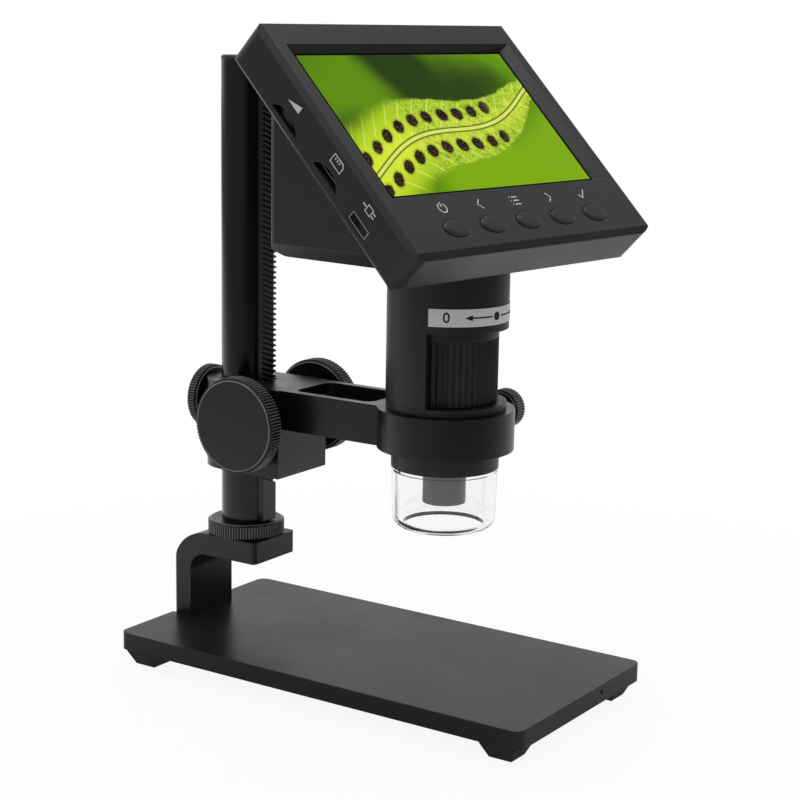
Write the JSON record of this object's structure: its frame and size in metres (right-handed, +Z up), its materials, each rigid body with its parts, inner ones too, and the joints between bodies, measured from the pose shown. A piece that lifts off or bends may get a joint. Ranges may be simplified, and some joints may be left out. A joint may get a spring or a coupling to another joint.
{
  "type": "lcd digital microscope",
  "caption": "Digital microscope: tilted display over a ribbed-focus barrel with a clear shroud, clamped in a ring arm on a rack-and-pinion column and flat base.",
  "frame": {"origin": "middle of the base plate's footprint, on the surface that the feet stand on", "axes": "+X the user's right, -Y towards the user and the display's front, +Y towards the column, +Z up"},
  "size_m": [0.1263, 0.16, 0.2183],
  "materials": {
    "black_anodised": "satin black anodised aluminium",
    "black_base": "satin black coating with a fine grain",
    "black_plastic": "fine-textured black ABS",
    "key_plastic": "smooth black keys",
    "foot_rubber": "black rubber",
    "steel": "zinc-plated steel",
    "black_steel": "black oxide steel",
    "brass": "machined brass",
    "nylon": "natural nylon",
    "bushing_plastic": "dark bearing plastic",
    "clear_plastic": "clear acrylic",
    "lens_grey": "grey satin lens tube",
    "optical_glass": "coated glass",
    "display_glass": "lit display behind glass",
    "label_white": "printed label",
    "panel_metal": "stamped frame",
    "circuit_board": "green circuit board",
    "board_white": "white circuit board",
    "switch_metal": "stamped metal",
    "led_lens": "white light source",
    "cell_foil": "foil-wrapped cell",
    "cable_film": "flat film cable"
  },
  "bodies": {
    "stand": {"base_plate": "black_base", "foot_front_left": "foot_rubber", "foot_front_right": "foot_rubber", "foot_back_left": "foot_rubber", "foot_back_right": "foot_rubber", "foot_screws": "steel", "column_bracket": "black_base", "bracket_screws": "steel", "column_washer": "steel"},
    "column": {"post": "black_anodised", "rack": "black_anodised", "rack_screws": "black_steel", "post_cap": "black_plastic", "column_bolt": "black_steel"},
    "collar": {"collar_nut": "black_anodised"},
    "carriage": {"carriage_block": "black_anodised", "post_bushings": "bushing_plastic", "shaft_bushings": "brass", "tension_pad": "nylon", "support_arm": "black_anodised", "arm_screws": "black_steel"},
    "pinion": {"pinion_gear": "brass", "pinion_shaft": "steel", "focus_knob_left": "black_anodised", "focus_knob_right": "black_anodised", "knob_set_screws": "black_steel"},
    "tension": {"tension_knob": "black_anodised"},
    "clamp": {"ring_thumbscrew": "black_anodised"},
    "head": {"front_bezel": "black_plastic", "rear_housing": "black_plastic", "display_glass": "display_glass", "display_frame": "panel_metal", "main_board": "circuit_board", "key_switches": "switch_metal", "battery": "cell_foil", "brightness_pot": "black_plastic", "card_socket": "switch_metal", "power_socket": "switch_metal", "housing_screws": "black_steel", "barrel_shell": "black_plastic", "scale_band": "label_white", "sensor_board": "circuit_board", "sensor_cable": "cable_film", "lens_guide": "black_plastic", "led_board": "board_white", "leds": "led_lens"},
    "focus": {"focus_ring": "black_plastic"},
    "lens": {"lens_tube": "lens_grey", "lens_elements": "optical_glass", "lens_drive_pin": "steel"},
    "shroud": {"clear_shroud": "clear_plastic"},
    "key_power": {"button_power": "key_plastic"},
    "key_left": {"button_left": "key_plastic"},
    "key_menu": {"button_menu": "key_plastic"},
    "key_right": {"button_right": "key_plastic"},
    "key_ok": {"button_ok": "key_plastic"},
    "dimmer": {"brightness_wheel": "key_plastic"}
  },
  "joints": [
    {"name": "column_swivel", "type": "hinge", "parent": "stand", "child": "column", "pos_m": [0, 0.056, 0.0425], "axis": [0, 0, 1], "continuous": true},
    {"name": "collar_turn", "type": "hinge", "parent": "column", "child": "collar", "pos_m": [0, 0.056, 0.0445], "axis": [0, 0, 1], "continuous": true},
    {"name": "carriage_slide", "type": "slide", "parent": "column", "child": "carriage", "axis": [0, 0, 1], "range_m": [-0.019, 0.105]},
    {"name": "focus_knob_turn", "type": "hinge", "parent": "carriage", "child": "pinion", "pos_m": [0, 0.04162, 0.0865], "axis": [1, 0, 0], "range_deg": [-1320, 240]},
    {"name": "tension_turn", "type": "hinge", "parent": "carriage", "child": "tension", "pos_m": [0, 0.0705, 0.0895], "axis": [0, 1, 0], "range_deg": [-90, 180]},
    {"name": "clamp_turn", "type": "hinge", "parent": "carriage", "child": "clamp", "pos_m": [0.03, -0.026, 0.0913], "axis": [1, 0, 0], "range_deg": [-90, 360]},
    {"name": "scope_swivel", "type": "hinge", "parent": "carriage", "child": "head", "pos_m": [0, -0.026, 0.0979], "axis": [0, 0, 1], "continuous": true},
    {"name": "focus_ring_turn", "type": "hinge", "parent": "head", "child": "focus", "pos_m": [0, -0.026, 0.1124], "axis": [0, 0, 1], "range_deg": [-60, 60]},
    {"name": "lens_slide", "type": "slide", "parent": "head", "child": "lens", "axis": [0, 0, 1], "range_m": [-0.003, 0.003]},
    {"name": "shroud_slide", "type": "slide", "parent": "head", "child": "shroud", "axis": [0, 0, -1], "range_m": [0, 0.0035]},
    {"name": "press_power", "type": "slide", "parent": "head", "child": "key_power", "axis": [0.0862, 0.7018, -0.7071], "range_m": [0, 0.0006], "stiffness_N_per_m": 1200},
    {"name": "press_left", "type": "slide", "parent": "head", "child": "key_left", "axis": [0.0862, 0.7018, -0.7071], "range_m": [0, 0.0006], "stiffness_N_per_m": 1200},
    {"name": "press_menu", "type": "slide", "parent": "head", "child": "key_menu", "axis": [0.0862, 0.7018, -0.7071], "range_m": [0, 0.0006], "stiffness_N_per_m": 1200},
    {"name": "press_right", "type": "slide", "parent": "head", "child": "key_right", "axis": [0.0862, 0.7018, -0.7071], "range_m": [0, 0.0006], "stiffness_N_per_m": 1200},
    {"name": "press_ok", "type": "slide", "parent": "head", "child": "key_ok", "axis": [0.0862, 0.7018, -0.7071], "range_m": [0, 0.0006], "stiffness_N_per_m": 1200},
    {"name": "dimmer_turn", "type": "hinge", "parent": "head", "child": "dimmer", "pos_m": [-0.04839, -0.00573, 0.19122], "axis": [-0.0862, -0.7018, 0.7071], "range_deg": [-120, 120]}
  ],
  "couplings": [
    {"joint": "focus_knob_turn", "follows": "carriage_slide", "rad_per_m": -218.17},
    {"joint": "focus_ring_turn", "follows": "lens_slide", "rad_per_m": 349.06}
  ]
}
